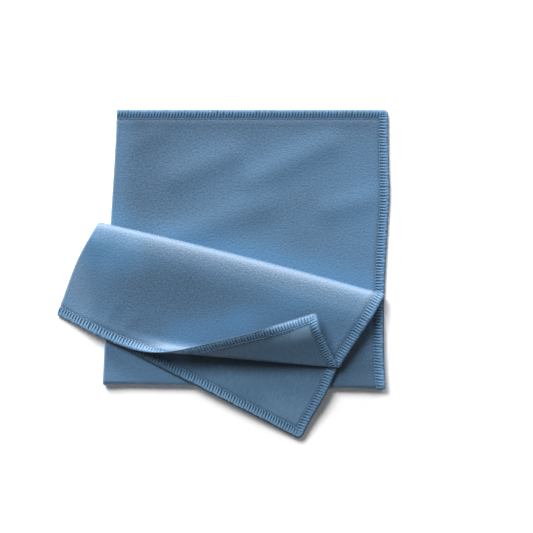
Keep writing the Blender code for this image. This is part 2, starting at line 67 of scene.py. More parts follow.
TOP_HEM_Y = 0.1184
BOTTOM_EDGE_LEFT_Y = -0.0801
BOTTOM_EDGE_RIGHT_Y = -0.0837

EdgePoint = namedtuple("EdgePoint", "y x")
FIRST_LEFT_EDGE = [
    EdgePoint(y=-0.0860, x=-0.0870),
    EdgePoint(y=-0.0477, x=-0.0855),
    EdgePoint(y=0.0391, x=-0.0812),
    EdgePoint(y=0.0752, x=-0.0789),
    EdgePoint(y=0.1186, x=-0.0765),
]
SECOND_LEFT_EDGE = [
    EdgePoint(y=-0.0860, x=-0.0870),
    EdgePoint(y=-0.0622, x=-0.0859),
    EdgePoint(y=-0.0350, x=-0.0850),
    EdgePoint(y=0.0030, x=-0.0872),
    EdgePoint(y=0.0314, x=-0.0904),
]
RIGHT_EDGE = [
    EdgePoint(y=-0.0860, x=0.1172),
    EdgePoint(y=-0.0550, x=0.1161),
    EdgePoint(y=-0.0188, x=0.1163),
    EdgePoint(y=0.0318, x=0.1187),
    EdgePoint(y=0.0560, x=0.1202),
    EdgePoint(y=0.0788, x=0.1196),
    EdgePoint(y=0.1186, x=0.1192),
]

SLANT_LEFT_END = np.array([-0.0890, 0.0371])
SLANT_ANGLE = math.radians(14.2)
SLANT_BOW = 0.0018              # how far the line bows up between its ends
SLANT_BOW_FADE = 0.050

# The slanted roll: its lower quarter turns up to the nose, which is the front, and its upper
# quarter runs back from the nose to the crest. Past the crest the flap glides down like a ramp
# and lies on the stack from "landing" on.
RollPoint = namedtuple("RollPoint", "across nose_reach nose_rise crest_reach crest_rise landing")
SLANT_ROLL = [                  # across: 0 at the left fold, 1 at the right hem
    RollPoint(across=0.0, nose_reach=0.0034, nose_rise=0.0028, crest_reach=0.0130,
              crest_rise=0.0056, landing=0.060),
    RollPoint(across=0.3, nose_reach=0.0038, nose_rise=0.0032, crest_reach=0.0140,
              crest_rise=0.0072, landing=0.078),
    RollPoint(across=0.7, nose_reach=0.0042, nose_rise=0.0035, crest_reach=0.0165,
              crest_rise=0.0082, landing=0.088),
    RollPoint(across=1.0, nose_reach=0.0042, nose_rise=0.0034, crest_reach=0.0180,
              crest_rise=0.0080, landing=0.090),
]
CREST_SHARPNESS = 1.40          # 2 would be an oval; less makes a straighter rise to the crest
RAMP_IN = 0.14
RAMP_OUT = 0.30

# The flap: "along" is measured along the slanted line from its left end, "down" away from it.
FlapPoint = namedtuple("FlapPoint", "down along")
FLAP_LEFT_EDGE = [
    FlapPoint(down=0.0000, along=0.0000),
    FlapPoint(down=0.0107, along=-0.0032),
    FlapPoint(down=0.0301, along=-0.0084),
    FlapPoint(down=0.0487, along=-0.0112),
    FlapPoint(down=0.0731, along=-0.0135),
]
HemPoint = namedtuple("HemPoint", "down ply_a ply_b")
FLAP_RIGHT_HEM = [              # the two plies part where ply B's corner turns over
    HemPoint(down=0.0000, ply_a=0.2122, ply_b=0.2122),
    HemPoint(down=0.0171, ply_a=0.2072, ply_b=0.2072),
    HemPoint(down=0.0457, ply_a=0.1972, ply_b=0.1972),
    HemPoint(down=0.0586, ply_a=0.1931, ply_b=0.1931),
    HemPoint(down=0.0814, ply_a=0.1888, ply_b=0.1866),
    HemPoint(down=0.1007, ply_a=0.1833, ply_b=0.1811),
    HemPoint(down=0.1173, ply_a=0.1796, ply_b=0.1824),
]
FREE_HEM_LEFT_END = 0.0728      # down from the slanted line
FREE_HEM_RIGHT_END = {"ply_a": 0.1169, "ply_b": 0.1074}
HEMS_PART_FROM = 0.138
HEMS_PARTED_FROM = 0.429
FLAP_DROP_START = 0.0040        # past the edge of the layers below, the flap starts to sag
FLAP_DROP_LEFT = 0.031          # and would be down on the surface this much further on
FLAP_DROP_BOTTOM = 0.060

# The rolled-back corner of ply B: a cone, whose tip lies just outside the cloth.
CONE_TIP = np.array([0.0838, -0.0674])
CONE_START = math.radians(10.088)
CONE_HALF_ANGLE = math.radians(4.764)
CONE_TURN = math.radians(142)
CORNER_CONE_HALF_ANGLE = math.radians(80)
CURL_KEEPS_SLOPE = math.radians(70)
CURL_FROM_FOLD = 0.030
CURL_FULL_FROM_FOLD = 0.095
TIP_REACH = 0.016               # the turned corner bends over backwards this far from its tip
TIP_RADIUS = 0.010
TIP_TURN = math.radians(55)
TIP_LEAN = 0.25
TIP_SPREAD = 0.026
TIP_ROWS = 24
TIP_COLUMNS = 40

# Soft ridges in the cloth's upper side, as lines seen from above.
Stroke = namedtuple("Stroke", "x1 y1 x2 y2 height half_width")
SQUARE_RIDGES = [
    Stroke(x1=-0.0347, y1=0.0690, x2=0.0058, y2=0.0857, height=0.0011, half_width=0.0095),
    Stroke(x1=0.0217, y1=0.0676, x2=0.0759, y2=0.0937, height=0.0012, half_width=0.0095),
    Stroke(x1=-0.0398, y1=0.0235, x2=0.0275, y2=0.0495, height=0.0012, half_width=0.0110),
    Stroke(x1=0.0752, y1=0.0459, x2=0.1128, y2=0.0553, height=0.0009, half_width=0.0085),
    Stroke(x1=-0.0660, y1=0.0930, x2=-0.0480, y2=0.1010, height=0.0006, half_width=0.0080),
]
FLAP_RIDGES = [
    Stroke(x1=-0.0766, y1=-0.0220, x2=-0.0839, y2=-0.0343, height=0.00025, half_width=0.0032),
    Stroke(x1=-0.0644, y1=-0.0315, x2=-0.0716, y2=-0.0401, height=0.00025, half_width=0.0032),
]
RIDGE_FADE = 0.020              # ridges fade out this near a hem or a fold

# Rows and columns stand close together where the sheet bends and along its hems.
HEM_LINES = np.array([0.0, 1.2, 2.4, 3.6, 4.8, 5.8, 6.8, 8.0, 9.5, 11.5, 14.0]) / 1000
TOP_ROWS = 66
BOTTOM_FOLD_ROWS = 12
BACK_ROWS = 22
SLANT_ROWS = 24
RAMP_ROWS = 18
RAMP_ROWS_SHARE = 0.55
ROWS_TO_CURL = 10
ROWS_IN_CURL = 34
ROWS_PAST_CURL = 12
PLY_A_COLUMNS = 76
PLY_B_COLUMNS = 96
COLUMN_CROWDING = 1.15
LEFT_FOLD_COLUMNS = 8
CURL_ROWS_FROM = 0.35
CURL_SAMPLES = 600
SHORT_STEP = 0.0005
SHORT_TURN = 0.01

UP = np.array([0.0, 0.0, 1.0])
ALONG = np.array([math.cos(SLANT_ANGLE), -math.sin(SLANT_ANGLE)])
BEYOND = np.array([math.sin(SLANT_ANGLE), math.cos(SLANT_ANGLE)])
ROW_WIDTH = RIGHT_EDGE[0].x - SECOND_LEFT_EDGE[0].x
BOTTOM_FOLD_INSET = LAYER_PITCH + BOTTOM_FOLD_SWELL / 2 + LAYER_PITCH / 2 + CLOTH_THICKNESS / 2

# How the pair of plies lies at one place: its middle, the way from there to ply A, the way along
# the row, and half the distance between the plies.
Lie = namedtuple("Lie", "middle out across_way half_gap")


def follow(table, column_name, at):
    """Read one column of a table smoothly, at places given in the table's first column."""
    places = np.array([row[0] for row in table])
    values = np.array([getattr(row, column_name) for row in table])
    slopes = np.gradient(values, places)
    at = np.clip(at, places[0], places[-1])
    low = np.clip(np.searchsorted(places, at) - 1, 0, len(places) - 2)
    span = places[low + 1] - places[low]
    t = (at - places[low]) / span
    rise = values[low + 1] - values[low]
    bend_in = slopes[low] * span - rise
    bend_out = rise - slopes[low + 1] * span
    return values[low] + rise * t + t * (1 - t) * (bend_in * (1 - t) + bend_out * t)


def ease(t):
    """From 0 to 1 with no slope at either end."""
    t = np.clip(t, 0.0, 1.0)
    return t * t * (3 - 2 * t)


def glide(t, ramp_in, ramp_out):
    """From 0 to 1 at an even pace, which is taken on and lost again over the two shares."""
    t = np.clip(t, 0.0, 1.0)
    pace = 1 / (1 - (ramp_in + ramp_out) / 2)
    starting = t * t / (2 * ramp_in)
    going = t - ramp_in / 2
    ending = 1 / pace - (1 - t) ** 2 / (2 * ramp_out)
    return pace * np.where(t < ramp_in, starting, np.where(t < 1 - ramp_out, going, ending))


def mix(a, b, t):
    """From a at 0 to b at 1, in proportion."""
    return a + (b - a) * t


def column(values):
    """One value for each place, to multiply the places' x, y and z by."""
    return np.reshape(values, (-1, 1))


def to_space(plan, z):
    """Places seen from above, at their heights."""
    return np.concatenate([plan, column(z)], axis=1)


def unit(vectors):
    return vectors / np.linalg.norm(vectors, axis=-1, keepdims=True)


def soft_strokes(places, strokes):
    """The height of soft strokes, each fading away from its own line, summed at each place."""
    height = np.zeros(len(places))
    for stroke in strokes:
        start = np.array([stroke.x1, stroke.y1])
        run = np.array([stroke.x2, stroke.y2]) - start
        share = np.clip((places - start) @ run / (run @ run), 0.0, 1.0)
        off = np.hypot(*(places - start - column(share) * run).T)
        height = height + stroke.height * np.exp(-(off / stroke.half_width) ** 2)
    return height


def left_swell(inside):
    """How much thicker a pair is near its left fold."""
    return LEFT_FOLD_SWELL * (1 - ease(np.maximum(inside, 0.0) / LEFT_FOLD_REACH))


def half_gap(across):
    """Half the distance between a pair's two plies, which opens towards its left fold."""
    return (LAYER_PITCH + left_swell(across * ROW_WIDTH)) / 2


def bottom_edge(plan):
    share = (plan[:, 0] - SECOND_LEFT_EDGE[0].x) / ROW_WIDTH
    return mix(BOTTOM_EDGE_LEFT_Y, BOTTOM_EDGE_RIGHT_Y, share)


def second_bed_z(plan):
    """Middle of the second pair's lower ply."""
    first_swell = left_swell(plan[:, 0] - follow(FIRST_LEFT_EDGE, "x", plan[:, 1]))
    inside = np.maximum(plan[:, 1] - bottom_edge(plan), 0.0)
    fold_swell = BOTTOM_FOLD_SWELL * (1 - ease(inside / BOTTOM_FOLD_REACH))
    return STACK_BOTTOM + 2 * LAYER_PITCH + first_swell + fold_swell


def flap_bed_z(plan):
    """Middle of the flap's lower ply: on the stack, or sagging to the surface past it."""
    past_left = follow(SECOND_LEFT_EDGE, "x", plan[:, 1]) - plan[:, 0]
    on_stack = second_bed_z(plan) + 2 * LAYER_PITCH + left_swell(-past_left)
    past_bottom = bottom_edge(plan) - plan[:, 1]
    left_share = np.maximum(past_left - FLAP_DROP_START, 0.0) / FLAP_DROP_LEFT
    bottom_share = np.maximum(past_bottom - FLAP_DROP_START, 0.0) / FLAP_DROP_BOTTOM
    return mix(on_stack, HANGING_BOTTOM, ease(np.hypot(left_share, bottom_share)))


def inset_left(across):
    """The pair's middle starts inside the outline by the left fold's own radius."""
    return (1 - across) * (half_gap(0.0) + CLOTH_THICKNESS / 2)


def top_part(share, across):
    """The first pair, flat from the top hem to the bottom fold."""
    bottom = mix(BOTTOM_EDGE_LEFT_Y, BOTTOM_EDGE_RIGHT_Y, across) + BOTTOM_FOLD_INSET
    y = mix(TOP_HEM_Y, bottom, share)
    x = mix(follow(FIRST_LEFT_EDGE, "x", y), follow(RIGHT_EDGE, "x", y), across)
    gap = half_gap(across)
    middle = np.stack([x + inset_left(across), y, STACK_BOTTOM + gap], axis=1)
    return Lie(middle, np.tile(-UP, (len(across), 1)), np.tile([1.0, 0, 0], (len(across), 1)), gap)


def bottom_fold(share, across):
    """Half a turn round the bottom edge, up onto the first pair."""
    edge_y = mix(BOTTOM_EDGE_LEFT_Y, BOTTOM_EDGE_RIGHT_Y, across)
    y = edge_y + BOTTOM_FOLD_INSET
    x = mix(follow(SECOND_LEFT_EDGE, "x", y), follow(RIGHT_EDGE, "x", y), across)
    gap = half_gap(across)
    radius = (second_bed_z(np.stack([x, edge_y], axis=1)) - STACK_BOTTOM) / 2
    turn = share * math.pi
    out = np.stack([np.zeros_like(turn), -np.sin(turn), -np.cos(turn)], axis=1)
    centre = np.stack([x + inset_left(across), y, STACK_BOTTOM + gap + radius], axis=1)
    return Lie(centre + column(radius) * out, out, np.tile([1.0, 0, 0], (len(across), 1)), gap)


def flap_plan(down, across, ply="ply_a"):
    """A place in the flap, seen from above; down may vary across."""
    left = follow(FLAP_LEFT_EDGE, "along", down)
    right = follow(FLAP_RIGHT_HEM, ply, down)
    along = mix(left, right, across) + inset_left(across)
    bow = SLANT_BOW * 4 * across * (1 - across) * (1 - ease(down / SLANT_BOW_FADE))
    return SLANT_LEFT_END + column(along) * ALONG - column(down - bow) * BEYOND


def nose_down(across):
    """The pair's middle stays behind the slanted line by half the pair."""
    return half_gap(across) + CLOTH_THICKNESS / 2


def slant_start(across):
    """The line where the roll starts to turn up."""
    reach = nose_down(across) + follow(SLANT_ROLL, "nose_reach", across)
    plan = flap_plan(np.zeros_like(across), across) - column(reach) * BEYOND
    return to_space(plan, second_bed_z(plan) + half_gap(across))


def crest_down(across):
    return nose_down(across) + follow(SLANT_ROLL, "crest_reach", across)


def crest_z(across):
    rise = follow(SLANT_ROLL, "nose_rise", across) + follow(SLANT_ROLL, "crest_rise", across)
    return slant_start(across)[:, 2] + rise


def edge_bend(edge, y_from, y_to, y):
    """How far an edge strays sideways from the straight line between two of its places."""
    share = (y - y_from) / (y_to - y_from)
    return follow(edge, "x", y) - mix(follow(edge, "x", y_from), follow(edge, "x", y_to), share)


def back_part(share, across):
    """The second pair, flat from the bottom fold back to the slanted roll."""
    bottom = mix(BOTTOM_EDGE_LEFT_Y, BOTTOM_EDGE_RIGHT_Y, across) + BOTTOM_FOLD_INSET
    ends = slant_start(across)
    start_x = mix(follow(SECOND_LEFT_EDGE, "x", bottom), follow(RIGHT_EDGE, "x", bottom), across)
    y = mix(bottom, ends[:, 1], share)
    left_bend = edge_bend(SECOND_LEFT_EDGE, bottom, ends[:, 1], y)
    right_bend = edge_bend(RIGHT_EDGE, bottom, ends[:, 1], y)
    x = mix(start_x + inset_left(across), ends[:, 0], share) + mix(left_bend, right_bend, across)
    plan = np.stack([x, y], axis=1)
    slope = share * SLANT_ANGLE
    way = np.stack([np.cos(slope), -np.sin(slope), np.zeros_like(slope)], axis=1)
    gap = half_gap(across)
    return Lie(to_space(plan, second_bed_z(plan) + gap), np.tile(UP, (len(across), 1)), way, gap)


def slant_middle(share, across):
    """Half a turn: first straight on from the start line, then in the flap's own outline."""
    turn = share * math.pi
    start = slant_start(across)
    forward = follow(SLANT_ROLL, "nose_reach", across) * np.sin(turn)
    to_nose = start[:, :2] + column(forward) * BEYOND
    lower_z = follow(SLANT_ROLL, "nose_rise", across) * (1 - np.cos(turn))
    past_nose = follow(SLANT_ROLL, "crest_reach", across) * (1 - np.sin(turn))
    to_crest = flap_plan(nose_down(across) + past_nose, across)
    climb = np.sqrt(1 - np.clip(np.sin(turn), 0.0, 1.0) ** CREST_SHARPNESS)
    upper_z = crest_z(across) - start[:, 2] - follow(SLANT_ROLL, "crest_rise", across) * (1 - climb)
    below = turn < math.pi / 2
    plan = np.where(column(below), to_nose, to_crest)
    return to_space(plan, start[:, 2] + np.where(below, lower_z, upper_z))


def slanted_fold(share, across):
    """The roll, with its normal from a short step back and one ahead."""
    before = slant_middle(np.maximum(share - SHORT_TURN, 0.0), across)
    after = slant_middle(np.minimum(share + SHORT_TURN, 1.0), across)
    way = np.tile(np.append(ALONG, 0.0), (len(across), 1))
    out = unit(np.cross(way, after - before))
    return Lie(slant_middle(share, across), out, way, half_gap(across))


def ramp_height(down, across):
    """How far the flap still stands off its bed at a given distance from the slanted line."""
    start = crest_down(across)
    bed = flap_bed_z(flap_plan(start, across)) + half_gap(across)
    landing = follow(SLANT_ROLL, "landing", across)
    gone = glide((down - start) / (landing - start), RAMP_IN, RAMP_OUT)
    return (crest_z(across) - bed) * (1 - gone)


def flap_middle(down, across, ply):
    plan = flap_plan(down, across, ply)
    return to_space(plan, flap_bed_z(plan) + half_gap(across) + ramp_height(down, across))


def flap_lie(down, across, ply):
    """The flap's pair of plies, with its normal from two short steps on its surface."""
    middle = flap_middle(down, across, ply)
    away = flap_middle(down + SHORT_STEP, across, ply) - middle
    side = flap_middle(down, across + SHORT_STEP / ROW_WIDTH, ply) - middle
    return Lie(middle, unit(np.cross(side, away)), unit(side), half_gap(across))


def ramp_end(across):
    """Where the even rows of the ramp end and those of the free part start."""
    return RAMP_ROWS_SHARE * follow(SLANT_ROLL, "landing", across)


def ramp_part(share, across):
    """The flap's upper stretch, from the crest down the ramp."""
    return flap_lie(mix(crest_down(across), ramp_end(across), share), across, "ply_a")


def free_hem_down(across, ply):
    """Distance of a ply's free hem from the slanted line."""
    straight = mix(FREE_HEM_LEFT_END, FREE_HEM_RIGHT_END["ply_a"], across)
    short = (FREE_HEM_RIGHT_END["ply_a"] - FREE_HEM_RIGHT_END[ply]) * across
    return straight - short * ease((across - HEMS_PART_FROM) / (HEMS_PARTED_FROM - HEMS_PART_FROM))


def around_cone(line, side, half_angle, turn):
    """Follow a sheet around a cone: the new line from the cone's tip, and the new side way."""
    inner = np.cross(line, side)
    axis = math.cos(half_angle) * line + math.sin(half_angle) * inner
    back = math.cos(half_angle) * inner - math.sin(half_angle) * line
    new_side = column(np.sin(turn)) * back + column(np.cos(turn)) * side
    spoke = column(np.sin(turn)) * side - column(np.cos(turn)) * back
    return math.cos(half_angle) * axis + math.sin(half_angle) * spoke, new_side


CONE_LINE = np.array([-math.cos(CONE_START), math.sin(CONE_START), 0.0])
CONE_SIDE = np.array([-math.sin(CONE_START), -math.cos(CONE_START), 0.0])
CORNER_LINE, CORNER_SIDE = around_cone(CONE_LINE, CONE_SIDE, CONE_HALF_ANGLE, np.array([CONE_TURN]))


def past_curl_start(plan):
    """Distance from the cone's tip, and the angle past the line where the roll starts."""
    offset = plan - CONE_TIP
    reach = np.hypot(offset[:, 0], offset[:, 1])
    return reach, CONE_START - np.arctan2(offset[:, 1], -offset[:, 0])


def curl(points, down, across):
    """Roll ply B's corner up on its cone, and bend what is past the roll only gently."""
    reach, angle = past_curl_start(points[:, :2])
    turn = np.clip(angle / math.sin(CONE_HALF_ANGLE), 0.0, CONE_TURN)
    direction = around_cone(CONE_LINE, CONE_SIDE, CONE_HALF_ANGLE, turn)[0]
    rest = np.maximum(angle - CONE_TURN * math.sin(CONE_HALF_ANGLE), 0.0)
    gentle_turn = rest / math.sin(CORNER_CONE_HALF_ANGLE)
    corner = around_cone(CORNER_LINE[0], CORNER_SIDE[0], CORNER_CONE_HALF_ANGLE, gentle_turn)[0]
    direction = np.where(column(rest) > 0, corner, direction)
    start_line = CONE_TIP + column(reach) * CONE_LINE[:2]
    base = flap_bed_z(start_line) + LAYER_PITCH + ramp_height(down, across)
    base = base + soft_strokes(start_line, FLAP_RIDGES)
    slope = flap_bed_z(points[:, :2]) - flap_bed_z(start_line)
    base = base + slope * (1 - ease(turn / CURL_KEEPS_SLOPE))
    rolled = to_space(np.tile(CONE_TIP, (len(points), 1)), base) + column(reach) * direction
    from_start = across * ROW_WIDTH - CURL_FROM_FOLD
    share = ease(from_start / (CURL_FULL_FROM_FOLD - CURL_FROM_FOLD))
    return mix(points, rolled, column(np.where(angle > 0, share, 0.0)))


def shares_to_hem(length, steps):
    """Even steps, and then the lines along the hem."""
    return np.append(np.linspace(0.0, 1.0, steps) * (1 - HEM_LINES[-1] / length),
                     1 - HEM_LINES[-2::-1] / length)


def curled_shares(place):
    """Steps down ply B's free part at one place across, even in turn where the corner rolls."""
    fine = np.linspace(0.0, 1.0, CURL_SAMPLES)
    start = ramp_end(place)
    length = free_hem_down(place, "ply_b") - start
    plan = flap_plan(start + fine * length, np.full(len(fine), place), "ply_b")
    turn = past_curl_start(plan)[1] / math.sin(CONE_HALF_ANGLE)
    last_roll = 1 - (HEM_LINES[-1] + ROWS_PAST_CURL * SHORT_STEP) / length
    first_roll = min(np.interp(0.0, turn, fine), last_roll - ROWS_IN_CURL * SHORT_STEP / 2 / length)
    first_turn, last_turn = np.interp([first_roll, last_roll], fine, turn)
    turns = np.linspace(first_turn, min(CONE_TURN, last_turn), ROWS_IN_CURL + 1)
    rolling = np.interp(turns, turn, fine)
    before = np.linspace(0.0, rolling[0], ROWS_TO_CURL + 1)[:-1]
    after = shares_to_hem((1 - rolling[-1]) * length, ROWS_PAST_CURL + 1)
    return np.concatenate([before, rolling, rolling[-1] + (1 - rolling[-1]) * after[1:]])


def ply_points(lie, side):
    """The points of ply A, where side is 1, or of ply B, where it is -1."""
    return lie.middle + side * column(lie.half_gap) * lie.out


def sheet_row(lie_a, ply_b):
    """One row of the cloth: ply A from its right hem, the half turn, ply B to its right hem."""
    turns = np.linspace(0.0, math.pi, LEFT_FOLD_COLUMNS + 1)[1:-1]
    middle, out, way, gap = lie_a.middle[0], lie_a.out[0], lie_a.across_way[0], lie_a.half_gap[0]
    fold = [middle + gap * (math.cos(t) * out - math.sin(t) * way) for t in turns]
    return np.concatenate([ply_points(lie_a, 1.0)[::-1], np.array(fold), ply_b])


def folded_lattice():
    """The cloth's middle surface as rows of points, from the top hem to the free hem."""
    a_across = shares_to_hem(ROW_WIDTH, PLY_A_COLUMNS) ** COLUMN_CROWDING
    b_across = shares_to_hem(ROW_WIDTH, PLY_B_COLUMNS) ** COLUMN_CROWDING
    sections = [
        (top_part, 1 - shares_to_hem(TOP_HEM_Y - BOTTOM_EDGE_LEFT_Y, TOP_ROWS)[::-1], (1, 1)),
        (bottom_fold, np.linspace(0.0, 1.0, BOTTOM_FOLD_ROWS + 1), (1, 0)),
        (back_part, np.linspace(0.0, 1.0, BACK_ROWS + 1), (0, 0)),
        (slanted_fold, np.linspace(0.0, 1.0, SLANT_ROWS + 1), (0, 1)),
        (ramp_part, np.linspace(0.0, 1.0, RAMP_ROWS + 1), (1, 1)),
    ]
    rows = []
    for part, shares, (a_shy_from, a_shy_to) in sections:
        for share in shares[:-1]:
            a_shy = LOWER_PLY_SHY * mix(a_shy_from, a_shy_to, share)
            a_places = a_across * (1 - a_shy / ROW_WIDTH)
            b_places = b_across * (1 - (LOWER_PLY_SHY - a_shy) / ROW_WIDTH)
            lie_a = part(np.full(len(a_places), share), a_places)
            lie_b = part(np.full(len(b_places), share), b_places)
            ply_b = ply_points(lie_b, -1.0)
            if part is top_part:
                past_hem = TOP_HEM_Y - ply_b[:, 1]
                past_side = (1 - b_places) * ROW_WIDTH
                nearest = np.minimum(np.minimum(past_hem, past_side), b_places * ROW_WIDTH)
                ply_b[:, 2] += soft_strokes(ply_b[:, :2], SQUARE_RIDGES) * ease(nearest / RIDGE_FADE)
            elif part is ramp_part:
                ply_b[:, 2] += soft_strokes(ply_b[:, :2], FLAP_RIDGES)
            rows.append(sheet_row(lie_a, ply_b))
    a_places = a_across * (1 - LOWER_PLY_SHY / ROW_WIDTH)
    free_rows = ROWS_TO_CURL + ROWS_IN_CURL + ROWS_PAST_CURL + 1
    a_length = free_hem_down(0.0, "ply_a") - ramp_end(0.0)
    a_shares = shares_to_hem(a_length, free_rows)
    curled = np.array([mix(a_shares, curled_shares(place), ease(place / CURL_ROWS_FROM))
                       for place in b_across])
    for a_share, b_shares in zip(a_shares, curled.T):
        a_down = mix(ramp_end(a_places), free_hem_down(a_places, "ply_a"), a_share)
        b_down = mix(ramp_end(b_across), free_hem_down(b_across, "ply_b"), b_shares)
        lie_a = flap_lie(a_down, a_places, "ply_a")
        lie_b = flap_lie(b_down, b_across, "ply_b")
        ply_b = ply_points(lie_b, -1.0)
        ply_b[:, 2] += soft_strokes(ply_b[:, :2], FLAP_RIDGES)
        rows.append(sheet_row(lie_a, curl(ply_b, b_down, b_across)))
    return np.array(rows)


def bend_tip_over(sheet):
    """Bend the turned corner's tip over backwards, round a line across the corner."""
    corner = sheet[-TIP_ROWS:, -TIP_COLUMNS:]
    tip = corner[-1, -1].copy()
    along_hem = unit(tip - corner[-1, 0])
    down_hem = unit(tip - corner[0, -1])
    toward_tip = unit(TIP_LEAN * along_hem + down_hem)
    inner = unit(np.cross(along_hem, down_hem))
    past = np.maximum((corner - tip) @ toward_tip + TIP_REACH, 0.0)
    past = past * ease(2 - (tip - corner) @ along_hem / TIP_SPREAD)
    turn = np.minimum(past / TIP_RADIUS, TIP_TURN)
    straight = past - turn * TIP_RADIUS
    forward = TIP_RADIUS * np.sin(turn) + straight * np.cos(turn) - past
    drop = TIP_RADIUS * (1 - np.cos(turn)) + straight * np.sin(turn)
    corner += forward[..., None] * toward_tip - drop[..., None] * inner


def outward(points):
    """The direction in which the cloth's outer face looks, at each point of the lattice."""
    return unit(np.cross(np.gradient(points, axis=0), np.gradient(points, axis=1)))


lattice = folded_lattice()
bend_tip_over(lattice)
lattice_low, lattice_high = lattice.min(axis=(0, 1)), lattice.max(axis=(0, 1))
to_frame = (np.array(cloth_low) + np.array(cloth_high) - lattice_low - lattice_high) / 2
lattice = lattice + np.array([to_frame[0], to_frame[1], 0.0])

# Each lattice point's place on the flat cloth: x from -side/2 at ply A's right hem over 0 at
# the left fold to side/2 at ply B's right hem, and y from 0 at the top hem to the free hem.
steps_along = np.linalg.norm(np.diff(lattice, axis=1), axis=2).mean(axis=0)
flat_x = np.append(0.0, np.cumsum(steps_along))
flat_x = CLOTH_SIDE * (flat_x / flat_x[-1] - 0.5)
steps_down = np.linalg.norm(np.diff(lattice, axis=0), axis=2)
flat_y = np.concatenate([np.zeros((1, lattice.shape[1])), np.cumsum(steps_down, axis=0)])
flat_y = CLOTH_SIDE * flat_y / flat_y[-1]
lattice_out = outward(lattice)


def fold(x, y, height):
    """Where a place on the flat cloth goes when the cloth is folded, and its outward way."""
    left = np.clip(np.searchsorted(flat_x, x) - 1, 0, len(flat_x) - 2)
    toward_right = column((x - flat_x[left]) / (flat_x[left + 1] - flat_x[left]))
    place_and_out = np.concatenate([lattice, lattice_out], axis=2)
    sides = []
    for offset in (0, 1):
        found = np.zeros((len(x), place_and_out.shape[2]))
        for line in np.unique(left):
            here = left == line
            at = line + offset
            for axis in range(place_and_out.shape[2]):
                found[here, axis] = np.interp(y[here], flat_y[:, at], place_and_out[:, at, axis])
        sides.append(found)
    found = mix(sides[0], sides[1], toward_right)
    return found[:, :3] + column(height) * unit(found[:, 3:])


def rounded_corners(x, y):
    """Bend the square lattice's corners round, in the flat cloth's own coordinates."""
    inner = CLOTH_SIDE / 2 - CLOTH_CORNER
    across, down = x, y - CLOTH_SIDE / 2
    a = np.maximum(np.abs(across) - inner, 0.0) / CLOTH_CORNER
    b = np.maximum(np.abs(down) - inner, 0.0) / CLOTH_CORNER
    across_moved = np.sign(across) * (inner + CLOTH_CORNER * a * np.sqrt(1 - b * b / 2))
    down_moved = np.sign(down) * (inner + CLOTH_CORNER * b * np.sqrt(1 - a * a / 2))
    in_corner = (a > 0) & (b > 0)
    return (np.where(in_corner, across_moved, across),
            np.where(in_corner, down_moved, down) + CLOTH_SIDE / 2)


# The stitches pull the sheet in under them, and it puffs up beside them.
NEEDLE_LINE = 0.0068            # inside the cut edge
PINCH_DEPTH = 0.00012
PINCH_HALF_WIDTH = 0.0012
PUFF_PLACE = 0.0095
PUFF_HEIGHT = 0.00028
PUFF_HALF_WIDTH = 0.0025

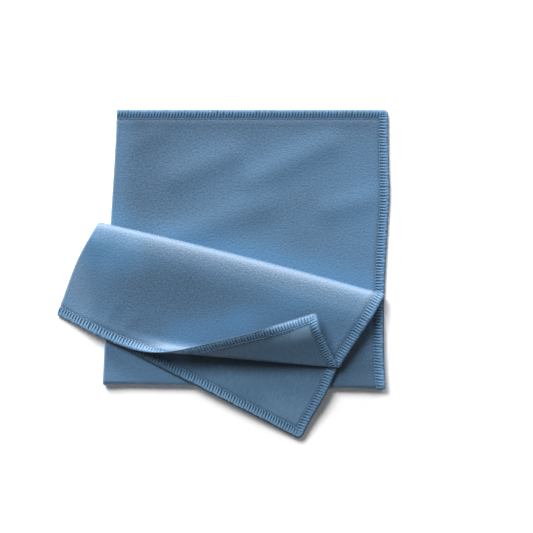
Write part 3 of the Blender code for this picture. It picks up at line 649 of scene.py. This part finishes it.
# Painted light and shade: each stroke lightens the face to a bluer tone or darkens it. They paint a
# reflection of the roll onto the square behind it, highlights on folded edges, on slopes that face the
# light and near the corners' tips, shade on the turned corner and under its curl, and lighter or
# darker patches elsewhere. The strokes' places are on the flat cloth, and their height is a share.
PAINTED_SHADING_STROKES = [
    Stroke(x1=-0.004, y1=0.081, x2=0.200, y2=0.135, height=0.50, half_width=0.014),
    Stroke(x1=0.010, y1=0.020, x2=0.015, y2=0.065, height=-0.32, half_width=0.048),
    Stroke(x1=0.085, y1=0.024, x2=0.100, y2=0.023, height=-0.12, half_width=0.012),
    Stroke(x1=0.106, y1=0.081, x2=0.145, y2=0.068, height=-0.12, half_width=0.010),
    Stroke(x1=0.134, y1=0.100, x2=0.140, y2=0.100, height=-0.12, half_width=0.010),
    Stroke(x1=0.184, y1=0.060, x2=0.186, y2=0.095, height=0.18, half_width=0.018),
    Stroke(x1=0.003, y1=0.005, x2=0.003, y2=0.078, height=0.35, half_width=0.009),
    Stroke(x1=0.006, y1=0.330, x2=0.006, y2=0.390, height=0.14, half_width=0.026),
    Stroke(x1=0.001, y1=0.335, x2=0.001, y2=0.392, height=0.10, half_width=0.006),
    Stroke(x1=0.040, y1=0.325, x2=0.190, y2=0.298, height=-0.26, half_width=0.007),
    Stroke(x1=0.012, y1=0.346, x2=0.036, y2=0.340, height=0.42, half_width=0.010),
    Stroke(x1=0.018, y1=0.085, x2=0.030, y2=0.095, height=-0.16, half_width=0.018),
    Stroke(x1=0.045, y1=0.352, x2=0.105, y2=0.340, height=-0.16, half_width=0.018),
    Stroke(x1=0.020, y1=0.012, x2=0.188, y2=0.012, height=-0.20, half_width=0.011),
    Stroke(x1=0.086, y1=0.376, x2=0.120, y2=0.348, height=0.40, half_width=0.010),
    Stroke(x1=0.122, y1=0.346, x2=0.144, y2=0.322, height=0.22, half_width=0.011),
    Stroke(x1=-0.105, y1=0.384, x2=-0.190, y2=0.347, height=-0.42, half_width=0.007),
    Stroke(x1=0.168, y1=0.389, x2=0.177, y2=0.387, height=0.34, half_width=0.006),
    Stroke(x1=0.160, y1=0.322, x2=0.188, y2=0.290, height=0.14, half_width=0.018),
    Stroke(x1=0.040, y1=0.345, x2=0.045, y2=0.345, height=-0.10, half_width=0.010),
    Stroke(x1=0.074, y1=0.335, x2=0.076, y2=0.335, height=-0.10, half_width=0.010),
    Stroke(x1=0.058, y1=0.356, x2=0.070, y2=0.352, height=-0.10, half_width=0.022),
    Stroke(x1=0.052, y1=0.387, x2=0.056, y2=0.386, height=-0.14, half_width=0.009),
    Stroke(x1=0.026, y1=0.390, x2=0.030, y2=0.391, height=-0.08, half_width=0.008),
    Stroke(x1=-0.190, y1=0.216, x2=-0.165, y2=0.216, height=-0.50, half_width=0.020),
    Stroke(x1=-0.175, y1=0.388, x2=-0.188, y2=0.384, height=0.36, half_width=0.016),
    Stroke(x1=-0.145, y1=0.363, x2=-0.175, y2=0.375, height=-0.16, half_width=0.018),
    Stroke(x1=0.120, y1=0.392, x2=0.190, y2=0.372, height=-0.12, half_width=0.014),
    Stroke(x1=0.190, y1=0.388, x2=0.184, y2=0.390, height=0.90, half_width=0.0055),
]
PAINTED_SHADING_NEUTRAL = 0.5
# Painted shade under the overlock stitches: full out to 6 mm inside the cut edge, then fading over 3.5
# mm. Under the side hems' rungs the painted shade is lighter.
PAINTED_SHADE_UNDER_STITCHES = 0.02
PAINTED_SHADE_UNDER_SIDE_RUNGS = 0.28     # on the side hems only the needle line is dark
SIDE_RUNGS_TO = 0.0052
PAINTED_SHADE_FULL_TO = 0.0060
PAINTED_SHADE_FADES_OVER = 0.0035


def inside_edge(x, y):
    """Distance of a place on the flat cloth from its nearest cut edge."""
    return np.minimum(CLOTH_SIDE / 2 - np.abs(x), np.minimum(y, CLOTH_SIDE - y))


def hem_puff(inside):
    """How far the face stands up or is pulled in, at a distance inside the cut edge."""
    puff = PUFF_HEIGHT * np.exp(-((inside - PUFF_PLACE) / PUFF_HALF_WIDTH) ** 2)
    return puff - PINCH_DEPTH * np.exp(-((inside - NEEDLE_LINE) / PINCH_HALF_WIDTH) ** 2)


row_count, column_count = lattice.shape[:2]
bpy.ops.mesh.primitive_grid_add(x_subdivisions=column_count - 1, y_subdivisions=row_count - 1, size=1)
cloth = bpy.context.object
cloth.name = "cloth_sheet"
cloth.data.name = "cloth_sheet"

sheet_x = np.tile(flat_x, row_count)
sheet_y = flat_y.ravel()
sheet_x, sheet_y = rounded_corners(sheet_x, sheet_y)
puff = hem_puff(inside_edge(sheet_x, sheet_y))
cloth.data.vertices.foreach_set("co", fold(sheet_x, sheet_y, puff).astype(np.float32).ravel())

corner_of_loop = np.zeros(len(cloth.data.loops), np.int32)
cloth.data.loops.foreach_get("vertex_index", corner_of_loop)
flat_place = np.stack([sheet_x / CLOTH_SIDE + 0.5, sheet_y / CLOTH_SIDE], axis=1)
cloth.data.uv_layers[0].data.foreach_set("uv", flat_place[corner_of_loop].astype(np.float32).ravel())
# Painted light and shade for each point of the face: the strokes, then painted shade under the
# stitches.
painted_shading = PAINTED_SHADING_NEUTRAL + soft_strokes(np.stack([sheet_x, sheet_y], axis=1), PAINTED_SHADING_STROKES)
inside = inside_edge(sheet_x, sheet_y)
# Painted shade under the stitches, fading out past the needle line.
under_stitch_shade = 1 - ease((inside - PAINTED_SHADE_FULL_TO) / PAINTED_SHADE_FADES_OVER)
under_side_rungs = (inside < SIDE_RUNGS_TO) & (CLOTH_SIDE / 2 - np.abs(sheet_x) <= inside)
painted_shading = mix(painted_shading, np.where(under_side_rungs, PAINTED_SHADE_UNDER_SIDE_RUNGS, PAINTED_SHADE_UNDER_STITCHES), under_stitch_shade)
cloth.data.attributes.new("painted_shading", "FLOAT", "POINT").data.foreach_set("value", painted_shading.astype(np.float32))
cloth.data.update()

for _ in range(2):              # a slot for each face's material
    cloth.data.materials.append(None)
wall = cloth.modifiers.new("thickness", "SOLIDIFY")
wall.thickness = CLOTH_THICKNESS
wall.offset = 0.0
wall.use_quality_normals = True
wall.material_offset = 1        # the outer face is in the second slot
bpy.ops.object.modifier_apply(modifier=wall.name)
bpy.ops.object.mode_set(mode="EDIT")
bpy.ops.mesh.select_all(action="SELECT")
bpy.ops.mesh.normals_make_consistent(inside=False)
bpy.ops.object.mode_set(mode="OBJECT")
bpy.ops.object.shade_smooth()


def new_material(name):
    """A material with one Principled shader, and what is needed to add to it."""
    material = bpy.data.materials.new(name)
    material.use_nodes = True
    nodes = material.node_tree.nodes
    nodes.clear()
    shader = nodes.new("ShaderNodeBsdfPrincipled")
    output = nodes.new("ShaderNodeOutputMaterial")
    material.node_tree.links.new(shader.outputs["BSDF"], output.inputs["Surface"])
    return material, nodes, material.node_tree.links, shader


def colour_by_painted_shading(nodes, links, shader, grain, grain_share, colours):
    """Colour a face from its painted shade to its painted highlight, its own colour between, shifted
    by the grain.
    """
    shading_read = nodes.new("ShaderNodeAttribute")
    shading_read.attribute_name = "painted_shading"
    shift = nodes.new("ShaderNodeMapRange")
    shift.inputs["From Min"].default_value = 0.35
    shift.inputs["From Max"].default_value = 0.65
    shift.inputs["To Min"].default_value = -grain_share
    shift.inputs["To Max"].default_value = grain_share
    total = nodes.new("ShaderNodeMath")
    links.new(grain.outputs["Fac"], shift.inputs["Value"])
    links.new(shading_read.outputs["Fac"], total.inputs[0])
    links.new(shift.outputs["Result"], total.inputs[1])
    ramp = nodes.new("ShaderNodeValToRGB")
    ramp.color_ramp.elements.new(0.5)
    for stop, colour in zip(ramp.color_ramp.elements, colours):
        stop.color = (*colour, 1.0)
    links.new(total.outputs["Value"], ramp.inputs["Fac"])
    links.new(ramp.outputs["Color"], shader.inputs["Base Color"])


def raise_grain(nodes, links, shader, grain, distance):
    """Let the grain stand up from the face a little."""
    bump = nodes.new("ShaderNodeBump")
    bump.inputs["Strength"].default_value = 0.5
    bump.inputs["Distance"].default_value = distance
    links.new(grain.outputs["Fac"], bump.inputs["Height"])
    links.new(bump.outputs["Normal"], shader.inputs["Normal"])


# The outer face: brushed fibres like suede, mottled at the scale of a millimetre.
microfibre, nodes, links, suede = new_material("microfibre_suede")
suede.inputs["Roughness"].default_value = 0.54
suede.inputs["Specular IOR Level"].default_value = 1.0
suede.inputs["Coat Weight"].default_value = 0.5
suede.inputs["Coat Roughness"].default_value = 0.5
flat_map = nodes.new("ShaderNodeUVMap")
flat_map.uv_map = cloth.data.uv_layers[0].name
mottle = nodes.new("ShaderNodeTexNoise")
mottle.inputs["Scale"].default_value = 270.0
mottle.inputs["Detail"].default_value = 3.0
mottle.inputs["Roughness"].default_value = 0.65
links.new(flat_map.outputs["UV"], mottle.inputs["Vector"])
# From painted shade through the face's own blue to a lighter, bluer painted highlight.
colour_by_painted_shading(nodes, links, suede, mottle, 0.24,
             [(0.043, 0.091, 0.154), (0.068, 0.150, 0.256), (0.073, 0.192, 0.350)])
raise_grain(nodes, links, suede, mottle, 0.0008)

# The inner face: the unbrushed knit, whose fine wales run down the cloth as streaks.
knit_inside, nodes, links, knit = new_material("microfibre_knit")
knit.inputs["Roughness"].default_value = 0.55
flat_map = nodes.new("ShaderNodeUVMap")
flat_map.uv_map = cloth.data.uv_layers[0].name
wale_scale = nodes.new("ShaderNodeMapping")
wale_scale.inputs["Scale"].default_value = (330.0, 70.0, 1.0)
wales = nodes.new("ShaderNodeTexNoise")
wales.inputs["Scale"].default_value = 1.0
wales.inputs["Detail"].default_value = 3.0
wales.inputs["Roughness"].default_value = 0.6
links.new(flat_map.outputs["UV"], wale_scale.inputs["Vector"])
links.new(wale_scale.outputs["Vector"], wales.inputs["Vector"])
# From painted shade through the knit's own blue to a painted highlight.
colour_by_painted_shading(nodes, links, knit, wales, 0.09,
             [(0.040, 0.078, 0.124), (0.078, 0.155, 0.250), (0.150, 0.265, 0.390)])
raise_grain(nodes, links, knit, wales, 0.0002)

cloth.data.materials[0] = knit_inside
cloth.data.materials[1] = microfibre

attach(cloth, "root")
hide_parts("cloth")


# ==== The overlocked edge ====================================================================
# The cloth's edge is overlocked all round in a slightly brighter blue thread. The looper
# thread wraps the edge in fat rungs, side by side, and the needle thread holds their inner
# ends down in a row of short stitches. Both are made on the flat cloth and folded with it.
STITCH_PITCH = 0.0022
SIDE_RUN = CLOTH_SIDE - 2 * CLOTH_CORNER
CORNER_RUN = CLOTH_CORNER * math.pi / 2
EDGE_LENGTH = 4 * (SIDE_RUN + CORNER_RUN)
STITCHES = round(EDGE_LENGTH / STITCH_PITCH)
STITCH_STEP = EDGE_LENGTH / STITCHES
STITCH_SEED = 7
STITCH_UNEVENNESS = {"along": 0.00010, "inside": 0.00016, "height": 0.00003}

# Painted light and shade on the thread: lighter in two stretches of the free hems, darker in another
# stretch of them and along the top hem. The strokes' places are on the flat cloth, as for the face.
PAINTED_THREAD_SHADING_STROKES = [
    Stroke(x1=0.010, y1=0.000, x2=0.180, y2=0.000, height=-0.28, half_width=0.015),
    Stroke(x1=0.010, y1=0.400, x2=0.050, y2=0.400, height=0.30, half_width=0.020),
    Stroke(x1=-0.015, y1=0.400, x2=-0.085, y2=0.400, height=-0.40, half_width=0.012),
    Stroke(x1=-0.130, y1=0.400, x2=-0.200, y2=0.400, height=0.50, half_width=0.018),
]

# The rung's middle line in the hem's cross-section: how far inside the cloth's cut edge, how
# high above the cloth's middle, the rung's half width along the hem and its half thickness.
RungPoint = namedtuple("RungPoint", "inside height half_width half_thickness")
RUNG = [
    RungPoint(inside=0.0066, height=0.00030, half_width=0.00034, half_thickness=0.00014),
    RungPoint(inside=0.0058, height=0.00052, half_width=0.00044, half_thickness=0.00017),
    RungPoint(inside=0.0047, height=0.00068, half_width=0.00056, half_thickness=0.00018),
    RungPoint(inside=0.0035, height=0.00080, half_width=0.00078, half_thickness=0.00014),
    RungPoint(inside=0.0018, height=0.00080, half_width=0.00118, half_thickness=0.00011),
    RungPoint(inside=0.0006, height=0.00046, half_width=0.00124, half_thickness=0.00010),
    RungPoint(inside=0.0003, height=-0.00005, half_width=0.00124, half_thickness=0.00010),
    RungPoint(inside=0.0016, height=-0.00046, half_width=0.00112, half_thickness=0.00011),
    RungPoint(inside=0.0034, height=-0.00050, half_width=0.00078, half_thickness=0.00012),
    RungPoint(inside=0.0052, height=-0.00046, half_width=0.00050, half_thickness=0.00012),
    RungPoint(inside=0.0066, height=-0.00028, half_width=0.00034, half_thickness=0.00012),
]
THREAD_SIDES = 8
RUNG_SLANT = 0.0006             # a rung's outer end lies this far on along the hem
TIGHTEST_TURN = 0.0006          # stitches inside a rounded corner turn at least this wide


def round_the_outline(along, inside):
    """A place along the cloth's outline and inside it, as a place on the flat cloth."""
    quarter = EDGE_LENGTH / 4
    side = np.floor(along / quarter).astype(int) % 4
    run = along % quarter
    half = CLOTH_SIDE / 2
    angle = np.maximum(run - SIDE_RUN, 0.0) / CLOTH_CORNER
    radius = np.maximum(CLOTH_CORNER - inside, TIGHTEST_TURN)
    turning = run > SIDE_RUN
    centre = half - CLOTH_CORNER
    x = np.where(turning, centre + radius * np.sin(angle), run - centre)
    y = np.where(turning, centre + radius * np.cos(angle), half - inside)
    for _ in range(3):              # a quarter turn for each side already passed
        again = side > 0
        x, y = np.where(again, y, x), np.where(again, -x, y)
        side = side - again
    return x, half - y


def on_the_edge(along, inside, height):
    """Move a place in the hem's own coordinates onto the folded cloth."""
    x, y = round_the_outline(along % EDGE_LENGTH, inside)
    limit = CLOTH_SIDE / 2
    return fold(np.clip(x, -limit, limit), np.clip(y, 0.0, CLOTH_SIDE), height)


def thread_length(name, cuts):
    """A straight thread from z = 0 to 1, cut across so that it can be bent."""
    bpy.ops.object.select_all(action="DESELECT")
    bpy.ops.mesh.primitive_cylinder_add(vertices=THREAD_SIDES, radius=1, depth=1,
                                        location=(0, 0, 0.5), end_fill_type="NGON")
    thread = bpy.context.object
    thread.name = name
    thread.data.name = name
    bpy.ops.object.transform_apply(location=True)
    bpy.ops.object.mode_set(mode="EDIT")
    bpy.ops.mesh.select_mode(type="EDGE")
    bpy.ops.mesh.select_all(action="DESELECT")
    bpy.ops.object.mode_set(mode="OBJECT")
    for edge in thread.data.edges:
        low, high = (thread.data.vertices[i].co.z for i in edge.vertices)
        edge.select = abs(low - high) > 0.5
    bpy.ops.object.mode_set(mode="EDIT")
    bpy.ops.mesh.subdivide(number_cuts=cuts)
    bpy.ops.mesh.select_mode(type="VERT")
    bpy.ops.object.mode_set(mode="OBJECT")
    return thread


def mesh_points(piece):
    """The piece's vertices, a row each."""
    points = np.zeros(len(piece.data.vertices) * 3, np.float32)
    piece.data.vertices.foreach_get("co", points)
    return points.reshape(-1, 3).astype(float)


def set_mesh_points(piece, points):
    piece.data.vertices.foreach_set("co", points.astype(np.float32).ravel())
    piece.data.update()


def rung_shape(points):
    """Bend the straight thread round the hem's edge: x along the hem, y inside, z up."""
    ring = np.round(points[:, 2] * (len(RUNG) - 1)).astype(int)
    inside, height, half_width, half_thickness = np.array(RUNG).T
    tangent = unit(np.stack([np.gradient(inside), np.gradient(height)], axis=1))[ring]
    lean = RUNG_SLANT * np.sin(math.pi * ring / (len(RUNG) - 1))
    along = points[:, 0] * half_width[ring] + lean
    off = points[:, 1] * half_thickness[ring]
    return np.stack([along, inside[ring] + off * tangent[:, 1], height[ring] - off * tangent[:, 0]],
                    axis=1)


looper = thread_length("looper_thread", len(RUNG) - 2)
set_mesh_points(looper, rung_shape(mesh_points(looper)))


def sew_round(piece):
    """Repeat a stitch along the whole edge and fold the row with the cloth."""
    bpy.ops.object.select_all(action="DESELECT")
    piece.select_set(True)
    bpy.context.view_layer.objects.active = piece
    row = piece.modifiers.new("row", "ARRAY")
    row.count = STITCHES
    row.use_relative_offset = False
    row.use_constant_offset = True
    row.constant_offset_displace = (STITCH_STEP, 0.0, 0.0)
    row.use_merge_vertices = False
    bpy.ops.object.modifier_apply(modifier=row.name)
    points = mesh_points(piece)
    stitch = np.arange(len(points)) * STITCHES // len(points)
    uneven = np.random.default_rng(STITCH_SEED).normal(size=(STITCHES, 3))[stitch]
    points += uneven * np.array(list(STITCH_UNEVENNESS.values()))
    flat_places = np.stack(round_the_outline(points[:, 0] % EDGE_LENGTH, points[:, 1]), axis=1)
    # Painted light and shade of each point of the thread, from its strokes.
    thread_shading = PAINTED_SHADING_NEUTRAL + soft_strokes(flat_places, PAINTED_THREAD_SHADING_STROKES)
    thread_shading_of_point = piece.data.attributes.new("painted_shading", "FLOAT", "POINT")
    thread_shading_of_point.data.foreach_set("value", thread_shading.astype(np.float32))
    set_mesh_points(piece, on_the_edge(points[:, 0], points[:, 1], points[:, 2]))
    bpy.ops.object.mode_set(mode="EDIT")
    bpy.ops.mesh.select_all(action="SELECT")
    bpy.ops.mesh.normals_make_consistent(inside=False)
    bpy.ops.object.mode_set(mode="OBJECT")
    bpy.ops.object.shade_smooth()


sew_round(looper)

# The needle thread: short stitches end to end, whose ends dip into the cloth.
NeedlePoint = namedtuple("NeedlePoint", "along height half_width")
NEEDLE_STITCH = [
    NeedlePoint(along=-0.00100, height=0.00020, half_width=0.00014),
    NeedlePoint(along=-0.00055, height=0.00044, half_width=0.00024),
    NeedlePoint(along=0.00055, height=0.00044, half_width=0.00024),
    NeedlePoint(along=0.00100, height=0.00020, half_width=0.00014),
]


def needle_shape(points, side):
    """Lay the straight thread along the needle line, on the cloth's outer or inner side."""
    ring = np.round(points[:, 2] * (len(NEEDLE_STITCH) - 1)).astype(int)
    along, height, half_width = np.array(NEEDLE_STITCH)[ring].T
    return np.stack([along + side * STITCH_STEP / 4, NEEDLE_LINE + points[:, 0] * half_width,
                     side * (height + points[:, 1] * half_width)], axis=1)


needle_rows = []
for side in (1, -1):
    row = thread_length("needle_thread", len(NEEDLE_STITCH) - 2)
    set_mesh_points(row, needle_shape(mesh_points(row), side))
    sew_round(row)
    needle_rows.append(row)
bpy.ops.object.select_all(action="DESELECT")
for row in needle_rows:
    row.select_set(True)
bpy.context.view_layer.objects.active = needle_rows[0]
bpy.ops.object.join()
needle = bpy.context.object
needle.name = "needle_thread"
needle.data.name = "needle_thread"

thread_material, nodes, links, thread = new_material("overlock_thread")
thread.inputs["Roughness"].default_value = 0.5
thread_place = nodes.new("ShaderNodeTexCoord")
fuzz = nodes.new("ShaderNodeTexNoise")
fuzz.inputs["Scale"].default_value = 900.0
fuzz.inputs["Detail"].default_value = 2.0
links.new(thread_place.outputs["Object"], fuzz.inputs["Vector"])
# From painted shade through the thread's own blue to a painted highlight.
colour_by_painted_shading(nodes, links, thread, fuzz, 0.16,
             [(0.052, 0.118, 0.210), (0.100, 0.214, 0.362), (0.165, 0.320, 0.500)])
raise_grain(nodes, links, thread, fuzz, 0.0002)
for piece in (looper, needle):
    piece.data.materials.clear()
    piece.data.materials.append(thread_material)
    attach(piece, "root")


# ==== The studio =============================================================================
# A plain white surface that glows a little, as a light table does. A soft light stands behind at
# the left, and two low strips behind and at the left graze the folds and show as gloss on them.
bpy.ops.object.select_all(action="DESELECT")
bpy.ops.mesh.primitive_plane_add(size=6.0, location=(0, 0, 0))
floor = bpy.context.object
floor.name = "floor"
floor_material, nodes, links, paper = new_material("white_surface")
paper.inputs["Base Color"].default_value = (0.97, 0.97, 0.97, 1.0)
paper.inputs["Roughness"].default_value = 0.8
paper.inputs["Specular IOR Level"].default_value = 0.0
paper.inputs["Emission Color"].default_value = (1.0, 1.0, 1.0, 1.0)
paper.inputs["Emission Strength"].default_value = 0.05
floor.data.materials.append(floor_material)

world = bpy.data.worlds.new("studio")
world.use_nodes = True
world.node_tree.nodes["Background"].inputs["Color"].default_value = (1.0, 1.0, 1.0, 1.0)
world.node_tree.nodes["Background"].inputs["Strength"].default_value = 0.118
bpy.context.scene.world = world


def soft_light(name, azimuth, elevation, distance, width, height, energy):
    """An area light that looks at the cloth; azimuth is measured to the left from behind."""
    bpy.ops.object.light_add(type="AREA")
    light = bpy.context.object
    light.name = name
    light.data.shape = "RECTANGLE"
    light.data.size = width
    light.data.size_y = height
    light.data.energy = energy
    level = distance * math.cos(math.radians(elevation))
    light.location = (-level * math.sin(math.radians(azimuth)),
                      level * math.cos(math.radians(azimuth)),
                      distance * math.sin(math.radians(elevation)))
    light.rotation_euler = (-light.location).to_track_quat("-Z", "Y").to_euler()
    return light


soft_light("strip_behind", azimuth=-5, elevation=12, distance=3.0, width=3.9, height=0.7, energy=180.0)
softbox = soft_light("softbox_left", azimuth=31, elevation=47, distance=3.0, width=1.4, height=1.4,
                     energy=122.0)
softbox.visible_glossy = False      # only the two strips show as gloss on the nap
strip_left = soft_light("strip_left", azimuth=85, elevation=16, distance=3.0, width=2.0, height=0.6,
                        energy=45.0)
strip_left.visible_diffuse = False  # gloss only, so it throws no long shadow to the right

# The camera looks straight down, its axis a little right of the cloth and behind its middle.
FRAME_WIDTH = 0.3855
CAMERA_HEIGHT = 1.40
bpy.ops.object.camera_add(location=(0.0307, 0.0058, CAMERA_HEIGHT), rotation=(0, 0, 0))
camera = bpy.context.object
camera.name = "camera"
camera.data.sensor_width = 36.0
camera.data.lens = 36.0 * CAMERA_HEIGHT / FRAME_WIDTH
bpy.context.scene.camera = camera
bpy.context.scene.view_settings.view_transform = "Standard"
